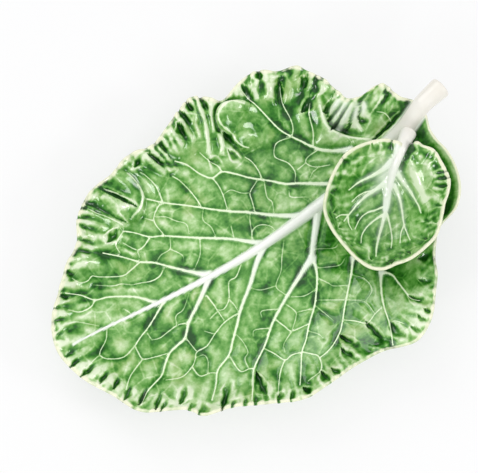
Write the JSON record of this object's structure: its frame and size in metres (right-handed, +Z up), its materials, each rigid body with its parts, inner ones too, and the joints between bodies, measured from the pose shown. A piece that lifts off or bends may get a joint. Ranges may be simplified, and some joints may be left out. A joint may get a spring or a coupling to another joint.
{
  "type": "cabbage leaf dish",
  "caption": "Shallow glazed earthenware serving dish shaped as a ruffled cabbage leaf, with a pale midrib and stalk and a small leaf bowl for a dip standing on it by the stalk.",
  "frame": {"origin": "middle of the whole object's footprint, on the surface that it stands on", "axes": "+X from the leaf's tip to the cut end of its stalk, +Z up"},
  "size_m": [0.3388, 0.2432, 0.067],
  "materials": {
    "green_glaze": "glossy translucent green glaze, dark in the hollows and pale on the ridges",
    "cream_glaze": "glossy off-white glaze",
    "bare_clay": "bare fired earthenware, matt"
  },
  "bodies": {
    "root": {"large_leaf": "green_glaze", "large_stalk": "cream_glaze", "foot_ring": "bare_clay", "small_leaf_bowl": "green_glaze", "small_stalk": "cream_glaze", "bowl_foot": "green_glaze", "bowl_slip_fillet": "green_glaze", "stalk_slip_lump": "cream_glaze"}
  },
  "joints": []
}
